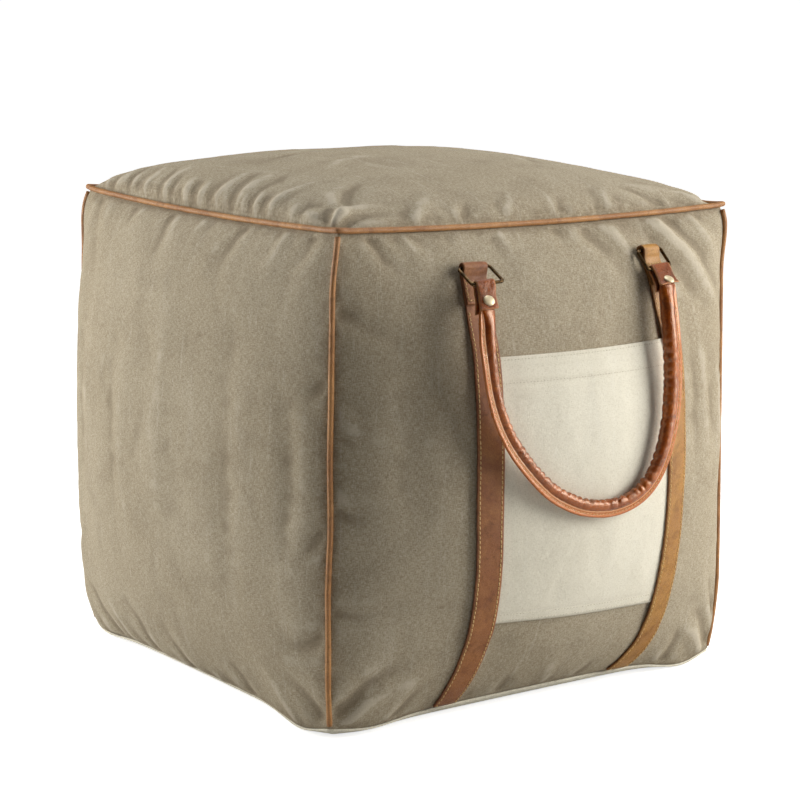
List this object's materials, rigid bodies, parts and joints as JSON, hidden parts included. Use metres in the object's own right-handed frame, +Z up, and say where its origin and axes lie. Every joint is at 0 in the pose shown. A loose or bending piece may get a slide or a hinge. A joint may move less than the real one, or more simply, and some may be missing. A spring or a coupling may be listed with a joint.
{
  "type": "cube pouf stool",
  "caption": "Stuffed canvas cube to sit on or rest the feet on, with leather piping, strap-held rings, a rolled leather carrying handle and a cream front pocket.",
  "frame": {"origin": "middle of the flat resting face of the base panel, on the floor plane", "axes": "+Z up; the front panel with the straps, pocket and handle faces -Y; +X is to the right seen from the front"},
  "size_m": [0.5485, 0.5868, 0.4879],
  "materials": {
    "canvas": "stone-washed cotton canvas, plain weave, matt, mottled taupe",
    "cream_canvas": "undyed cream cotton canvas, plain weave, matt",
    "piping_leather": "thin tan leather over cord, satin",
    "strap_leather": "flat tan leather, edge-stitched, satin",
    "handle_leather": "rolled cognac leather, polished, puckered",
    "antique_brass": "darkened antique brass wire",
    "rivet_brass": "bright brass rivet cap"
  },
  "bodies": {
    "root": {"pouf_body": "canvas", "base_panel": "cream_canvas", "pocket": "cream_canvas", "piping_top": "piping_leather", "piping_front_left": "piping_leather", "piping_front_right": "piping_leather", "piping_back_left": "piping_leather", "piping_back_right": "piping_leather", "strap_left": "strap_leather", "strap_right": "strap_leather", "tab_left": "handle_leather", "tab_right": "handle_leather", "handle": "handle_leather", "ring_left": "antique_brass", "ring_right": "antique_brass", "rivet_left": "rivet_brass", "rivet_right": "rivet_brass"}
  },
  "joints": []
}
